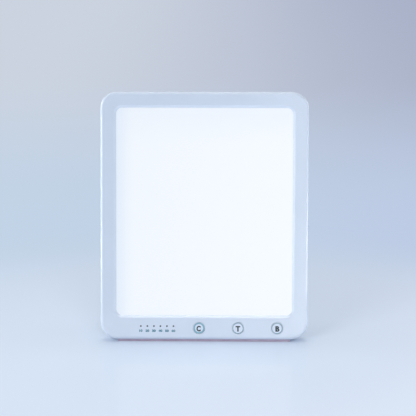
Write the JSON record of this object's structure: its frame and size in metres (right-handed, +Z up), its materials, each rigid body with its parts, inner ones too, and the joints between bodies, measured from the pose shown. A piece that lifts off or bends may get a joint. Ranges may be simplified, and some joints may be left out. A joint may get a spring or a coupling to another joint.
{
  "type": "light therapy lamp",
  "caption": "Thin tablet-shaped light therapy lamp with a lit opal window, push buttons below it and a fold-out kickstand behind.",
  "frame": {"origin": "on the table, at the middle of the footprint of the lamp standing on its opened kickstand", "axes": "+Z up, -Y towards the user in front of the window, +X to the right as the user sees it"},
  "size_m": [0.2, 0.0562, 0.2382],
  "materials": {
    "white_housing": "satin moulded ABS, cool white",
    "button_white": "satin moulded caps with a printed ring and letter",
    "opal_diffuser": "satin opal acrylic, lit from behind",
    "prism_film": "fine prismatic film",
    "clear_acrylic": "clear polished acrylic with printed dots",
    "reflector_white": "matt white film",
    "aluminium_sheet": "mill finish",
    "strip_board_white": "white solder mask",
    "led_package": "phosphor filled",
    "foam": "closed-cell foam",
    "circuit_board_green": "green solder mask",
    "switch_black": "matt moulded",
    "switch_plunger": "matt moulded",
    "smoked_lens": "smoked clear",
    "ferrite": "moulded ferrite",
    "capacitor_can": "bright can",
    "connector_white": "natural nylon",
    "lead_white": "soft sheath",
    "lead_red": "soft sheath",
    "lead_black": "soft sheath",
    "socket_black": "matt moulded",
    "contact_metal": "bright plated",
    "screw_steel": "zinc plated",
    "hinge_steel": "ground",
    "washer_nylon": "natural nylon",
    "foot_rubber": "matt silicone"
  },
  "bodies": {
    "panel": {"front_bezel": "white_housing", "back_cover": "white_housing", "diffuser_panel": "opal_diffuser", "prism_film": "prism_film", "light_guide_plate": "clear_acrylic", "reflector_sheet": "reflector_white", "heat_spreader": "aluminium_sheet", "led_strip_left": "strip_board_white", "led_strip_right": "strip_board_white", "leds_left": "led_package", "leds_right": "led_package", "indicator_leds": "led_package", "foam_strips": "foam", "control_board": "circuit_board_green", "switch_bodies": "switch_black", "control_chip": "switch_black", "led_driver_chip": "switch_black", "indicator_light_pipes": "smoked_lens", "driver_inductor": "ferrite", "driver_capacitors": "capacitor_can", "board_connectors": "connector_white", "led_lead_left": "lead_white", "led_lead_right": "lead_white", "socket_lead_positive": "lead_red", "socket_lead_negative": "lead_black", "dc_socket_body": "socket_black", "dc_socket_contact": "contact_metal", "dc_socket_pin": "contact_metal", "case_screws": "screw_steel", "board_screws": "screw_steel", "hinge_pin": "hinge_steel", "hinge_washers": "washer_nylon", "foot_strip": "foot_rubber"},
    "stand": {"kickstand": "white_housing", "stand_end_pad": "foot_rubber"},
    "colour_key": {"colour_button": "button_white", "colour_switch_plunger": "switch_plunger"},
    "timer_key": {"timer_button": "button_white", "timer_switch_plunger": "switch_plunger"},
    "brightness_key": {"brightness_button": "button_white", "brightness_switch_plunger": "switch_plunger"}
  },
  "joints": [
    {"name": "stand_hinge", "type": "hinge", "parent": "panel", "child": "stand", "pos_m": [0, 0.00843, 0.1637], "axis": [-1, 0, 0], "range_deg": [0, 15]},
    {"name": "colour_press", "type": "slide", "parent": "panel", "child": "colour_key", "axis": [0, 0.9877, -0.1564], "range_m": [0, 0.0004], "stiffness_N_per_m": 2500, "springref_m": -0.0001},
    {"name": "timer_press", "type": "slide", "parent": "panel", "child": "timer_key", "axis": [0, 0.9877, -0.1564], "range_m": [0, 0.0004], "stiffness_N_per_m": 2500, "springref_m": -0.0001},
    {"name": "brightness_press", "type": "slide", "parent": "panel", "child": "brightness_key", "axis": [0, 0.9877, -0.1564], "range_m": [0, 0.0004], "stiffness_N_per_m": 2500, "springref_m": -0.0001}
  ]
}
